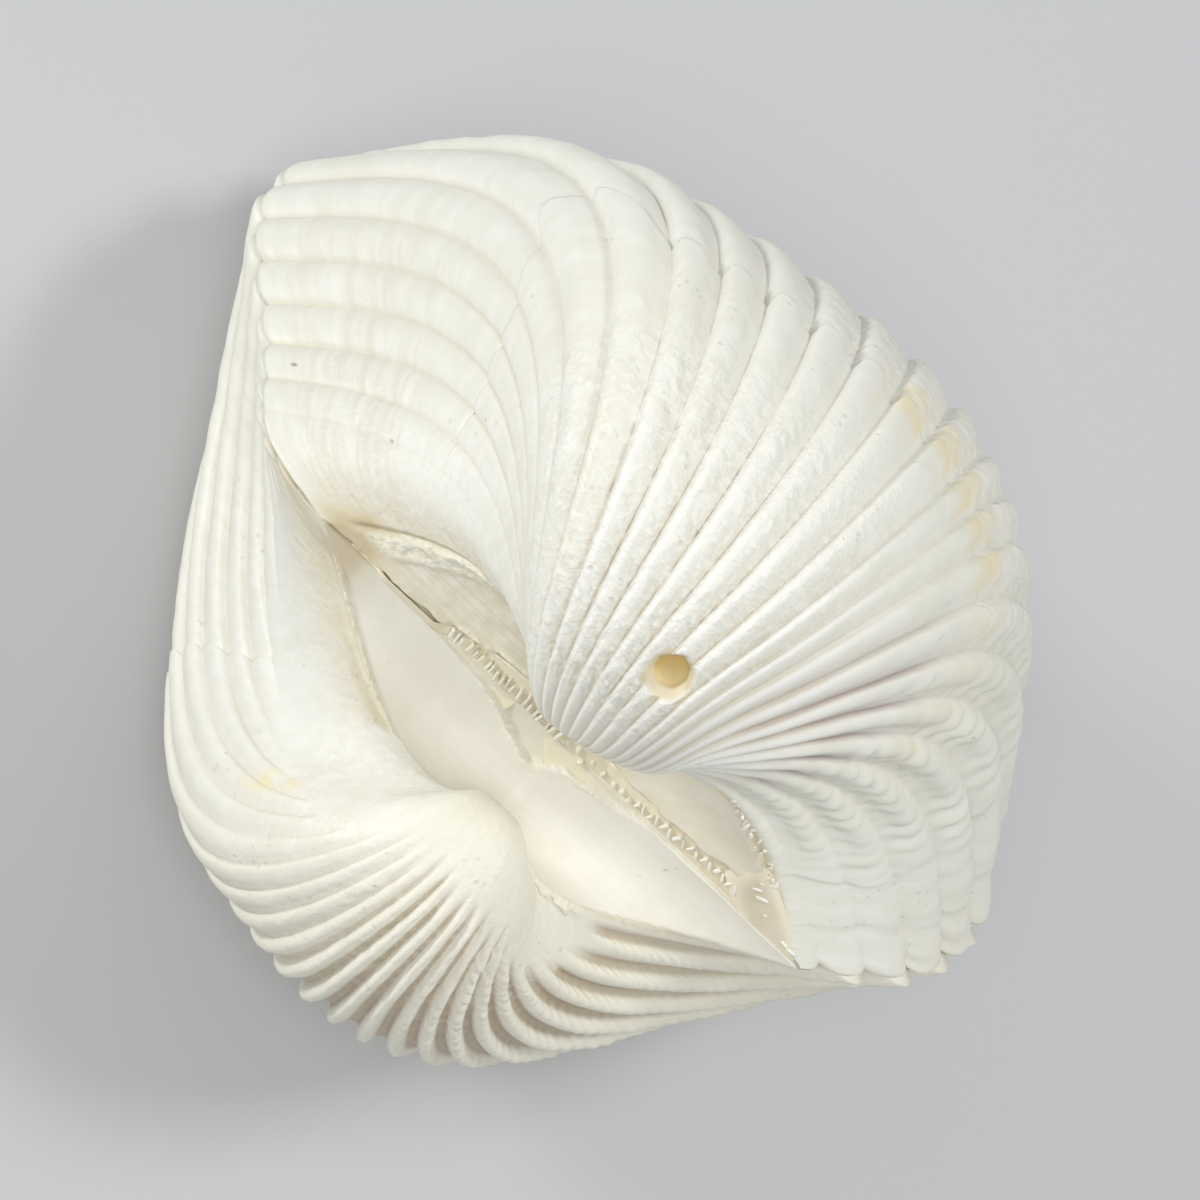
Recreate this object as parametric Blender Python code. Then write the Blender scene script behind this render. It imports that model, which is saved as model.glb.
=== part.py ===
"""Ark clam shell: a closed pair of ribbed valves, with the dried ligament left between their hinge areas.

Shell axes, in millimetres: X along the hinge towards the front end, Y towards the left valve, Z up
through the beaks. The hinge line is the X axis. Each valve is a run of growth sections: the outline of
the shell's open edge, made smaller and turned about a growth axis beside the beak, so that the wall
follows a spiral from the open edge up to the beak. Ribs run along the spiral and stand out in its planes.
"""
import math

import bmesh
import bpy
import numpy as np
from mathutils import Matrix, Vector

MM = 0.001

# Open edge of both valves, as (x, z) from the rear end of the hinge round the belly to its front end
HINGE_HALF = 15.16
EDGE_POINTS = (
    (-19.3, -1.9), (-21.7, -7.25), (-26.65, -19.4), (-24.1, -28.9), (-14.4, -32.9),
    (-1.9, -34.9), (9.3, -33.8), (17.9, -28.2), (22.1, -18.9), (20.8, -8.05),
)

# Growth of each valve, about an axis beside its beak. The spiral's three terms say how fast a section
# shrinks as it turns, and the lean carries the beak along the hinge. Ribs: their usual pitch along the open
# edge, places where it differs as (place, reach, change), and the place of one groove. Halts in growth, each
# a low ledge: (turn in degrees, drop).
VALVES = {
    "left_valve": {
        "side": 1, "axis": (-1.2, 3.39, 3.98), "spiral": (0.611, -0.095, 0.0615), "lean": -1.1,
        "tip_deg": 215.0, "pitch": 4.52, "groove_at": 46.75,
        "pitch_changes": ((0.0, 22.6, -2.19), (32.0, 5.9, 1.82), (72.3, 4.0, -1.36), (110.0, 14.0, -1.15)),
        "ledges": ((10.0, 0.2), (22.0, 0.25), (61.0, 0.4)),
        "turns": (198, 182, 166, 150, 136, 121, 107, 93, 80, 70, 62, 60, 48, 35, 23, 21, 11, 9, 3, 0),
    },
    "right_valve": {
        "side": -1, "axis": (-0.7, 3.17, 3.08), "spiral": (0.578, -0.0075, 0.016), "lean": 1.6,
        "tip_deg": 240.0, "pitch": 4.33, "groove_at": 44.87,
        "pitch_changes": ((0.0, 21.7, -2.48), (29.8, 8.3, 0.99), (110.0, 14.0, -0.43)),
        "ledges": ((10.0, 0.2), (22.0, 0.2), (58.0, 0.25)),
        "turns": (212, 188, 168, 150, 134, 119, 105, 92, 80, 69, 59, 57, 46, 35, 23, 21, 11, 9, 3, 0),
    },
}
VALVE_GAP = 0.3              # between the two open edges

# Ribs
RIB_HEIGHT = 0.16            # share of the pitch
RIB_STEPS = ((0.0, -0.5), (0.24, 0.5), (0.66, 0.42))   # corners: place across a rib, share of its height
PLAIN_END = 14.0             # length at each end of the hinge over which ribs fade out

# Wall of a valve
WALL_EDGE = 2.0
WALL_BEAK = 1.3
HINGE_PLATE = 3.4
HOLLOW_DEG = 150.0           # turn at which the hollow closes below the beak
HOLLOW_TURNS = (0, 14, 34, 56, 80, 106, 132)
TOOTH_DEPTH = 0.35           # notches of the inner rim, one to each groove
HINGE_SLOT = 1.2             # depth of the slot along the hinge
HINGE_COLUMNS = 7

# Hole bored through the left valve: place along the edge, turn in degrees, widths, depth of the funnel
BORE_PLACE = (63.3, 126.0)
BORE_OUTER = 2.4
BORE_INNER = 1.3
BORE_DEPTH = 1.1

# Dried ligament in the slot, and the film at its front end
LIGAMENT_REAR = 13.6
LIGAMENT_FRONT = 14.9
LIGAMENT_CLEAR = 0.3
FILM_START = 9.0
FILM_LEFT = 1.8
FILM_RIGHT = 0.8

# The closed shell lies on the bulge of its right valve, which is worn flat there: the direction of the shell
# that points up, and the height of the middle of the hinge above the surface
SEAT_UP = (0.105, 0.797, 0.594)
SEAT_HEIGHT = 25.4


def clear_scene():
    for thing in list(bpy.data.objects):
        bpy.data.objects.remove(thing, do_unlink=True)


def material(name, colour, roughness):
    mat = bpy.data.materials.new(name)
    mat.use_nodes = True
    shader = mat.node_tree.nodes["Principled BSDF"]
    shader.inputs["Base Color"].default_value = (*colour, 1.0)
    shader.inputs["Roughness"].default_value = roughness
    shader.inputs["Metallic"].default_value = 0.0
    return mat


def smooth_through(points, count):
    """Natural cubic curve through the points, spaced by the lengths of their chords."""
    points = np.array(points)
    knots = np.concatenate([[0.0], np.cumsum(np.linalg.norm(np.diff(points, axis=0), axis=1))])
    step = np.diff(knots)
    size = len(points)
    matrix = np.eye(size)
    right = np.zeros((size, 2))
    for i in range(1, size - 1):
        matrix[i, i - 1:i + 2] = (step[i - 1], 2.0 * (step[i - 1] + step[i]), step[i])
        right[i] = 6.0 * ((points[i + 1] - points[i]) / step[i] - (points[i] - points[i - 1]) / step[i - 1])
    bend = np.linalg.solve(matrix, right)
    at = np.linspace(0.0, knots[-1], count)
    i = np.clip(np.searchsorted(knots, at, side="right") - 1, 0, size - 2)
    before = (knots[i + 1] - at)[:, None]
    after = (at - knots[i])[:, None]
    gap = step[i][:, None]
    return (bend[i] * before ** 3 + bend[i + 1] * after ** 3) / (6.0 * gap) \
        + (points[i] / gap - bend[i] * gap / 6.0) * before \
        + (points[i + 1] / gap - bend[i + 1] * gap / 6.0) * after


EDGE_LINE = smooth_through(((-HINGE_HALF, 0.0), *EDGE_POINTS, (HINGE_HALF, 0.0)), 1201)
EDGE_LENGTHS = np.concatenate([[0.0], np.cumsum(np.linalg.norm(np.diff(EDGE_LINE, axis=0), axis=1))])
EDGE_LENGTH = float(EDGE_LENGTHS[-1])
BELLY = float(EDGE_LINE[:, 1].min())
REAR = float(EDGE_LINE[:, 0].min())
FRONT = float(EDGE_LINE[:, 0].max())


def edge_at(length):
    """Point of the open edge at a length from its rear hinge end, and the direction that points outwards."""
    x, z = (float(np.interp(length, EDGE_LENGTHS, EDGE_LINE[:, i])) for i in (0, 1))
    low = max(length - 0.4, 0.0)
    high = min(length + 0.4, EDGE_LENGTH)
    dx, dz = (float(np.interp(high, EDGE_LENGTHS, EDGE_LINE[:, i]) -
                    np.interp(low, EDGE_LENGTHS, EDGE_LINE[:, i])) for i in (0, 1))
    size = math.hypot(dx, dz)
    return (x, z), (dz / size, -dx / size)


def groove_lengths(valve):
    """Lengths along the edge of the grooves between ribs, found by counting ribs along the edge."""
    pitch = np.full(len(EDGE_LENGTHS), valve["pitch"])
    for middle, reach, change in valve["pitch_changes"]:
        pitch += change * np.exp(-((EDGE_LENGTHS - middle) / reach) ** 2)
    steps = np.diff(EDGE_LENGTHS) / (0.5 * (pitch[1:] + pitch[:-1]))
    count = np.concatenate([[0.0], np.cumsum(steps)])
    first = np.interp(valve["groove_at"], EDGE_LENGTHS, count) % 1.0
    grooves = np.interp(np.arange(first, count[-1], 1.0), count, EDGE_LENGTHS)
    return [length for length in grooves if 0.8 < length < EDGE_LENGTH - 0.8]


def columns_of(valve):
    """Columns of the growth grid, round a section: point, outward direction, rib height, share of the slot."""
    columns = [{"point": (-HINGE_HALF, 0.0), "out": (-0.7, 0.7), "rib": 0.0, "hinge": 0.0}]
    grooves = groove_lengths(valve)
    for low, high in zip(grooves, [*grooves[1:], EDGE_LENGTH]):
        for across, height in RIB_STEPS:
            length = low + across * (high - low)
            point, out = edge_at(length)
            fade = min(1.0, 0.35 + 0.65 * min(length, EDGE_LENGTH - length) / PLAIN_END)
            columns.append({"point": point, "out": out, "rib": height * RIB_HEIGHT * (high - low) * fade,
                            "hinge": 0.0})
    columns.append({"point": (HINGE_HALF, 0.0), "out": (0.7, 0.7), "rib": 0.0, "hinge": 0.0})
    for i in range(1, HINGE_COLUMNS + 1):
        share = math.cos(math.pi * i / (HINGE_COLUMNS + 1))
        columns.append({"point": (HINGE_HALF * share, 0.0), "out": (0.0, 1.0), "rib": 0.0,
                        "hinge": (1.0 - share ** 2) ** 0.4})
    return columns


def scale_at(valve, turn_deg):
    turn = math.radians(turn_deg)
    one, two, three = valve["spiral"]
    return math.exp(-(one + (two + three * turn) * turn) * turn)


def on_section(valve, turn_deg, point, out, raised):
    """Point of a growth section, raised in the section's own plane, in shell axes."""
    turn = math.radians(turn_deg)
    scale = scale_at(valve, turn_deg)
    ax, ay, az = valve["axis"]
    x = ax + scale * (point[0] - ax) + valve["lean"] * scale * (1.0 - scale) + out[0] * raised
    flat = -scale * ay
    deep = scale * (point[1] - az) + out[1] * raised
    y = ay + flat * math.cos(turn) - deep * math.sin(turn)
    z = az + flat * math.sin(turn) + deep * math.cos(turn)
    return Vector((x, valve["side"] * (y + 0.5 * VALVE_GAP), z))


def outer_point(valve, column, turn_deg):
    """Outside: ribs stand on it, and each stage of growth starts a ledge below the one before it."""
    scale = scale_at(valve, turn_deg)
    raised = column["rib"] * scale
    if column["hinge"] == 0.0:
        for start, drop in valve["ledges"]:
            if turn_deg < start:
                raised -= drop * min(1.0, scale + 0.3) * math.exp(-(start - turn_deg) / 8.0)
    raised -= HINGE_SLOT * column["hinge"] * max(0.0, 1.0 - turn_deg / 7.0)
    found = on_section(valve, turn_deg, column["point"], column["out"], raised)
    up = Vector(SEAT_UP).normalized()
    return found - up * min(0.0, found.dot(up) + SEAT_HEIGHT)


def inner_point(valve, column, turn_deg):
    """Inside: the section drawn in by the wall, and at the top by the plate that carries the hinge."""
    scale = scale_at(valve, turn_deg)
    wall = (WALL_BEAK + (WALL_EDGE - WALL_BEAK) * scale) / scale
    plate = (WALL_BEAK + (HINGE_PLATE - WALL_BEAK) * scale) / scale
    middle = 0.5 * (REAR + FRONT)
    x = middle + (column["point"][0] - middle) * (1.0 - 2.0 * wall / (FRONT - REAR))
    z = -plate + (BELLY + wall + plate) * column["point"][1] / BELLY
    notch = TOOTH_DEPTH * max(0.0, 1.0 - turn_deg / 14.0) if column["rib"] < 0.0 else 0.0
    return on_section(valve, turn_deg, (x, z), column["out"], -notch)


def section_middle(valve, turn_deg):
    return on_section(valve, turn_deg, (0.5 * (REAR + FRONT), 0.5 * BELLY), (0.0, 0.0), 0.0)


def add_object(name, mesh_maker, mat, collection):
    mesh = bpy.data.meshes.new(name)
    work = bmesh.new()
    mesh_maker(work)
    bmesh.ops.remove_doubles(work, verts=work.verts, dist=0.000001)
    bmesh.ops.recalc_face_normals(work, faces=work.faces)
    work.to_mesh(mesh)
    work.free()
    mesh.materials.append(mat)
    thing = bpy.data.objects.new(name, mesh)
    collection.objects.link(thing)
    return thing


def valve_mesh(valve):
    """A grid whose rows run beak, outside, edge, inside, hollow's end, and whose columns go round a section."""
    columns = columns_of(valve)
    rows = [[section_middle(valve, valve["tip_deg"])] * len(columns)]
    rows += [[outer_point(valve, column, turn) for column in columns] for turn in valve["turns"]]
    rows += [[inner_point(valve, column, turn) for column in columns] for turn in HOLLOW_TURNS]
    rows += [[section_middle(valve, HOLLOW_DEG)] * len(columns)]

    def make(work):
        wide = len(columns)
        grid = bmesh.ops.create_grid(work, x_segments=wide, y_segments=len(rows) - 1, size=1.0)["verts"]
        grid.sort(key=lambda vert: (round(vert.co.y, 5), round(vert.co.x, 5)))
        for i, vert in enumerate(grid):
            row, column = divmod(i, wide + 1)
            vert.co = rows[row][column % wide] * MM
    return make


def ligament_mesh(work):
    """Lofted strip: a wedge down in the hinge slot, and at the front end a film that spreads over both areas."""
    rings = []
    for x in (*np.linspace(-LIGAMENT_REAR, FILM_START, 9), *np.linspace(FILM_START + 0.7, LIGAMENT_FRONT, 10)):
        rise = min(1.0, max(0.0, (x - FILM_START) / 1.6))
        spread = max(0.0, math.sin(math.pi * min(1.0, max(0.0, (x - FILM_START - 1.4) / 4.6)))) ** 0.8
        high = -0.1 + 0.6 * rise
        low = high - 0.2
        keel = min(low - 0.05, LIGAMENT_CLEAR + 0.05 - HINGE_SLOT * (1.0 - (x / HINGE_HALF) ** 2) ** 0.4)
        left = 0.3 + (FILM_LEFT - 0.3) * spread
        right = 0.3 + (FILM_RIGHT - 0.3) * spread
        profile = ((0.07, keel), (0.28, low), (left, low), (left, high), (0.0, high + 0.1),
                   (-right, high), (-right, low), (-0.28, low), (-0.07, keel))
        rings.append([work.verts.new(Vector((x, y, z)) * MM) for y, z in profile])
    for before, after in zip(rings, rings[1:]):
        for i, corner in enumerate(before):
            j = (i + 1) % len(before)
            work.faces.new((corner, before[j], after[j], after[i]))
    work.faces.new(rings[0])
    work.faces.new(rings[-1])


def bore_cutter(valve, collection):
    """Funnel with its wide mouth outside, square to the wall, and a narrow throat through it."""
    length, turn = BORE_PLACE
    point, out = edge_at(length)
    mouth = on_section(valve, turn, point, out, 0.0)
    along = on_section(valve, turn, edge_at(length + 1.0)[0], out, 0.0) - mouth
    up = on_section(valve, turn + 2.0, point, out, 0.0) - mouth
    outward = along.cross(up).normalized()
    if outward.dot(mouth - section_middle(valve, turn)) < 0.0:
        outward.negate()

    def make(work):
        slope = 0.5 * (BORE_OUTER - BORE_INNER) / BORE_DEPTH
        for low, high, r_low, r_high in (
                (-BORE_DEPTH, 0.8, 0.5 * BORE_INNER, 0.5 * BORE_OUTER + 0.8 * slope),
                (-7.0, -BORE_DEPTH, 0.5 * BORE_INNER, 0.5 * BORE_INNER)):
            made = bmesh.ops.create_cone(work, cap_ends=False, segments=20, radius1=r_low * MM,
                                         radius2=r_high * MM, depth=(high - low) * MM)
            for vert in made["verts"]:
                vert.co.z += 0.5 * (low + high) * MM
        bmesh.ops.remove_doubles(work, verts=work.verts, dist=0.00001)
        bmesh.ops.holes_fill(work, edges=work.edges, sides=0)
    cutter = add_object("bore_funnel", make, material("cutter", (0.5, 0.5, 0.5), 0.5), collection)
    cutter.location = mouth * MM
    cutter.rotation_euler = outward.to_track_quat("Z", "Y").to_euler()
    cutter.hide_render = True
    cutter.display_type = "WIRE"
    return cutter


def seat_turn():
    """Turn of the shell to the way it lies, with the hinge as near to the X axis as it can be."""
    up = Vector(SEAT_UP).normalized()
    along = (Vector((1.0, 0.0, 0.0)) - up * up.x).normalized()
    return Matrix((along, up.cross(along), up))


def build():
    clear_scene()
    shell = bpy.data.collections.new("ark_clam_shell")
    cutters = bpy.data.collections.new("cutters")
    for collection in (shell, cutters):
        bpy.context.scene.collection.children.link(collection)
    seat = bpy.data.objects.new("seat", None)
    shell.objects.link(seat)

    chalk = {"left_valve": material("shell_left", (0.83, 0.81, 0.76), 0.55),
             "right_valve": material("shell_right", (0.84, 0.82, 0.77), 0.6)}
    parts = {}
    for name, valve in VALVES.items():
        parts[name] = add_object(name, valve_mesh(valve), chalk[name], shell)
    parts["hinge_ligament"] = add_object("hinge_ligament", ligament_mesh,
                                         material("dried_ligament", (0.62, 0.47, 0.28), 0.3), shell)
    cutter = bore_cutter(VALVES["left_valve"], cutters)
    bore = parts["left_valve"].modifiers.new("bore", "BOOLEAN")
    bore.operation = "DIFFERENCE"
    bore.solver = "EXACT"
    bore.object = cutter
    turned = seat_turn()
    corners = [turned @ vert.co for thing in parts.values() for vert in thing.data.vertices]
    low, high = (Vector([pick(corner[i] for corner in corners) for i in range(3)]) for pick in (min, max))
    seat.rotation_euler = turned.to_euler()
    seat.location = (-0.5 * (low.x + high.x), -0.5 * (low.y + high.y), -low.z)
    for thing in (*parts.values(), cutter):
        thing.parent = seat


build()
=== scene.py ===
import math

import bmesh
import bpy
import numpy as np
from mathutils import Matrix, Vector
from mathutils.kdtree import KDTree


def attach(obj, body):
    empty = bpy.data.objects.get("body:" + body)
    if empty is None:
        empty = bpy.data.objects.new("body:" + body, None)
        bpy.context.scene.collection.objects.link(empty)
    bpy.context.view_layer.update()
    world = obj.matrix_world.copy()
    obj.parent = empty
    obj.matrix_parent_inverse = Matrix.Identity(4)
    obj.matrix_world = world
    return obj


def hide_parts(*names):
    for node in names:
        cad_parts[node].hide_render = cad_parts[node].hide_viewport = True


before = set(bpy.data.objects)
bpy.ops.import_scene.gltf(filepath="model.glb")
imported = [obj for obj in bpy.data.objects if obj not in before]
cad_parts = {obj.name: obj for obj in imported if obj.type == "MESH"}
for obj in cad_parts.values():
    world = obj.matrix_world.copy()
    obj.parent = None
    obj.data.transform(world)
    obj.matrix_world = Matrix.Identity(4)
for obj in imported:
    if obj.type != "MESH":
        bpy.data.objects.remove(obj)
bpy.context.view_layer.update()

# ---------------------------------------------------------------------------------------------------
# LEFT VALVE: the larger, upper half of a closed ark shell, chalky white and worn by the sea. It grew outwards
# from its beak, so each older edge is a smaller copy of the open edge, turned about an axis beside the beak.
# Its ribs run from beak to edge, a snail bored it through, and a flat area beside the hinge is part of it.

# Shell axes, in millimetres: X along the hinge to the front end, Y to the left valve, Z up through the beaks.
HINGE_HALF = 15.16
# How the closed shell lies on the table: the shell direction that points up, and the place of the hinge.
SEAT_UP = Vector((0.105, 0.797, 0.594)).normalized()
SEAT_PLACE = np.array((1.021, -7.813, 25.4))
MM = 0.001
seat_along = (Vector((1.0, 0.0, 0.0)) - SEAT_UP * SEAT_UP.x).normalized()
SEAT = np.array((seat_along, SEAT_UP.cross(seat_along), SEAT_UP))


def lay(points):
    """Puts points in shell axes, in millimetres, where the shell lies, in metres."""
    return (np.asarray(points) @ SEAT.T + SEAT_PLACE) * MM


def smooth_through(points, count):
    """Natural cubic curve through the points, spaced by the lengths of their chords."""
    points = np.array(points)
    knots = np.concatenate([[0.0], np.cumsum(np.linalg.norm(np.diff(points, axis=0), axis=1))])
    step = np.diff(knots)
    size = len(points)
    matrix = np.eye(size)
    right_side = np.zeros((size, points.shape[1]))
    for i in range(1, size - 1):
        matrix[i, i - 1:i + 2] = (step[i - 1], 2.0 * (step[i - 1] + step[i]), step[i])
        slope_after = (points[i + 1] - points[i]) / step[i]
        right_side[i] = 6.0 * (slope_after - (points[i] - points[i - 1]) / step[i - 1])
    bend = np.linalg.solve(matrix, right_side)
    at = np.linspace(0.0, knots[-1], count)
    i = np.clip(np.searchsorted(knots, at, side="right") - 1, 0, size - 2)
    before = (knots[i + 1] - at)[:, None]
    after = (at - knots[i])[:, None]
    painted_beak_groove_shade = step[i][:, None]
    return (bend[i] * before ** 3 + bend[i + 1] * after ** 3) / (6.0 * painted_beak_groove_shade) \
        + (points[i] / painted_beak_groove_shade - bend[i] * painted_beak_groove_shade / 6.0) * before \
        + (points[i + 1] / painted_beak_groove_shade - bend[i + 1] * painted_beak_groove_shade / 6.0) * after


# The open edge, from the rear end of the hinge round the belly to its front end.
EDGE_LINE = smooth_through((
    (-HINGE_HALF, 0.0), (-19.3, -1.9), (-21.7, -7.25), (-26.65, -19.4), (-24.1, -28.9), (-14.4, -32.9),
    (-1.9, -34.9), (9.3, -33.8), (17.9, -28.2), (22.1, -18.9), (20.8, -8.05), (HINGE_HALF, 0.0)), 2401)
EDGE_LENGTHS = np.concatenate([[0.0], np.cumsum(np.linalg.norm(np.diff(EDGE_LINE, axis=0), axis=1))])
EDGE_LENGTH = EDGE_LENGTHS[-1]
REAR, BELLY = EDGE_LINE.min(axis=0)
FRONT = EDGE_LINE[:, 0].max()


def smooth(low, high, values):
    """0 below low, 1 above high, and a soft step from one to the other."""
    share = np.clip((values - low) / (high - low), 0.0, 1.0)
    return share * share * (3.0 - 2.0 * share)


def between(low, high, soft, values):
    """1 from low to high, with soft ends."""
    return smooth(low - soft, low + soft, values) * (1.0 - smooth(high - soft, high + soft, values))


def uneven(across, along, seed):
    """Soft noise from -1 to 1 over two coordinates, whose lumps are one unit wide."""
    lattice = np.random.RandomState(seed).uniform(-1.0, 1.0, (257, 257))
    i, j = np.floor(across).astype(int), np.floor(along).astype(int)
    s, t = across - i, along - j
    s, t = s * s * (3.0 - 2.0 * s), t * t * (3.0 - 2.0 * t)
    i, j = i % 256, j % 256
    return (lattice[i, j] * (1.0 - s) + lattice[i + 1, j] * s) * (1.0 - t) \
        + (lattice[i, j + 1] * (1.0 - s) + lattice[i + 1, j + 1] * s) * t


# Corners across one rib as shares of its pitch, and the heights there of three kinds of rib.
RIB_PLACES = np.array((0.0, 0.05, 0.12, 0.21, 0.33, 0.46, 0.58, 0.68, 0.80, 0.93))
OVERLAPPING_RIB = (-0.64, -0.06, 0.34, 0.49, 0.50, 0.44, 0.27, 0.02, -0.16, -0.34, -0.64)
WORN_BAND = (-0.60, -0.30, 0.02, 0.25, 0.40, 0.46, 0.44, 0.38, 0.20, -0.24, -0.60)
HIGH_CORD = (-0.66, -0.44, 0.02, 0.40, 0.52, 0.38, -0.04, -0.42, -0.60, -0.66, -0.66)
RIB_HEIGHT, WORN_LOWER, CORD_HIGHER = 0.172, 0.045, 0.11
WALL_AT_BEAK, WALL_GAIN, HINGE_PLATE_GAIN = 1.3, 0.7, 2.1
HINGE_COLUMNS = 84
# Degrees turned from the open edge at which the growth is drawn, closest where it shows most.
ROWS = np.concatenate([
    np.linspace(0.0, 3.0, 8, endpoint=False), np.linspace(3.0, 25.0, 34, endpoint=False),
    np.linspace(25.0, 75.0, 84, endpoint=False), np.linspace(75.0, 115.0, 48, endpoint=False),
    np.linspace(115.0, 150.0, 32, endpoint=False), np.linspace(150.0, 240.0, 26)])
HALTS = (10.0, 22.0, 61.0)
WHOLE_TURN = 4.3


class Valve:
    """How one valve grew: its spiral, its ribs, and the halts where its growth stopped for a while."""

    def __init__(self, side, axis, spiral, lean, drift, tip, pitch, pitch_changes, groove_at, halts):
        self.side, self.axis, self.spiral = side, axis, spiral
        self.lean, self.drift, self.tip = lean, drift, tip
        self.pitches = pitch + sum(change * np.exp(-((EDGE_LENGTHS - middle) / reach) ** 2)
                                   for middle, reach, change in pitch_changes)
        steps = np.diff(EDGE_LENGTHS) * 2.0 / (self.pitches[1:] + self.pitches[:-1])
        counts = np.concatenate([[0.0], np.cumsum(steps)])
        self.counts = counts - np.interp(groove_at, EDGE_LENGTHS, counts) % 1.0
        self.halts = halts
        first, last = math.ceil(self.counts[0]) - 1, math.floor(self.counts[-1])
        places = (np.arange(first, last + 1)[:, None] + RIB_PLACES).ravel()
        places = places[(places > self.counts[0] + 0.03) & (places < self.counts[-1] - 0.03)]
        lengths = np.concatenate([[0.0], np.interp(places, self.counts, EDGE_LENGTHS), [EDGE_LENGTH]])
        ahead = np.minimum(lengths + 0.4, EDGE_LENGTH)
        behind = np.maximum(lengths - 0.4, 0.0)
        along = np.stack([np.interp(ahead, EDGE_LENGTHS, EDGE_LINE[:, i])
                          - np.interp(behind, EDGE_LENGTHS, EDGE_LINE[:, i]) for i in (0, 1)], axis=-1)
        out = np.stack([along[:, 1], -along[:, 0]], axis=-1) / np.linalg.norm(along, axis=1)[:, None]
        out[0], out[-1] = (-0.75, 0.66), (0.75, 0.66)
        share = np.arange(1, HINGE_COLUMNS + 1) / (HINGE_COLUMNS + 1.0)
        hinge = HINGE_HALF * (0.8 * (1.0 - 2.0 * share) + 0.2 * np.cos(np.pi * share))
        self.outer = np.arange(len(lengths) + HINGE_COLUMNS) < len(lengths)
        self.lengths = np.concatenate([lengths, np.where(hinge > 0.0, EDGE_LENGTH, 0.0)])
        self.count = np.interp(self.lengths, EDGE_LENGTHS, self.counts)
        self.point = np.concatenate([
            np.stack([np.interp(lengths, EDGE_LENGTHS, EDGE_LINE[:, i]) for i in (0, 1)], axis=-1),
            np.stack([hinge, 0.0 * hinge], axis=-1)])
        self.out = np.concatenate([out, np.tile((0.0, 1.0), (HINGE_COLUMNS, 1))])

    def scale(self, turn):
        """Size of the section at this turn, beside the open edge's."""
        one, two, three = self.spiral
        return np.exp(-(one + (two + three * turn) * turn) * turn)

    def place(self, point, out, raised, turn):
        """Points of the growth sections at these turns, raised in the plane of the section."""
        scale = self.scale(turn)
        ax, ay, az = self.axis
        x = ax + scale * (point[..., 0] - ax) + self.lean * scale * (1.0 - scale) + out[..., 0] * raised
        deep = scale * (point[..., 1] - az) + out[..., 1] * raised
        y = ay - scale * ay * np.cos(turn) - deep * np.sin(turn)
        z = az - scale * ay * np.sin(turn) + deep * np.cos(turn)
        forward = np.clip((point[..., 0] - REAR) / (FRONT - REAR), 0, 1)
        late = smooth(112.0, 172.0, np.degrees(turn)) * forward ** 1.3
        x, y, z = (value + late * move for value, move in zip((x, y, z), self.drift))
        return np.stack([x, self.side * (y + 0.05), z], axis=-1)

    def from_rim(self, end, x, outer, lengths, turned):
        """Distance from the rim between the hinge area and the rest, at its rear (-1) or front (1) end."""
        rim = self.place(np.array((end * HINGE_HALF, 0.0)), np.zeros(2), 0.0, np.radians(turned))[..., 0]
        distance = np.where(outer > 0.5, lengths if end < 0 else EDGE_LENGTH - lengths, (rim - x) * end)
        return np.where((lengths > 0.5 * EDGE_LENGTH) == (end > 0), np.maximum(distance, 0.0), 50.0)

    def stage(self):
        """Turns of all rows, tip first. Each halt keeps to its own row, wherever it crosses the ribs."""
        rows = ROWS[ROWS < self.tip - 3.0]
        ledges = [start - np.array((0.03, 0.25, 0.5, 0.8)) for start in HALTS]
        rows = np.concatenate([rows, [self.tip], *ledges])
        rows = np.sort(rows)[::-1]
        table = [(0.0, 0.0 * self.lengths)]
        for start, halt in zip(HALTS, self.halts):
            places, turns, drops = np.array(halt).T
            table.append((start, np.interp(self.lengths, places, turns)))
        table += [(118.0, 0.0 * self.lengths + 118.0), (self.tip, 0.0 * self.lengths + self.tip)]
        knots = [knot for knot, turns in table]
        turns = np.array([turns for knot, turns in table])
        stage = np.stack([np.interp(rows, knots, column) for column in turns.T], axis=-1)
        return rows[:, None] + 0.0 * stage, np.radians(stage)


def rib_relief(count, worn, cords):
    """Height of the ribs as a share of their pitch: overlapping ribs, worn round bands, or high cords."""
    across = count - np.floor(count)
    full, band, cord = (np.interp(across, np.append(RIB_PLACES, 1.0), heights)
                        for heights in (OVERLAPPING_RIB, WORN_BAND, HIGH_CORD))
    shape = full * (1.0 - cords) + cord * cords
    return (shape * (1.0 - worn) + band * worn) * (RIB_HEIGHT - WORN_LOWER * worn + CORD_HIGHER * cords)


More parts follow.
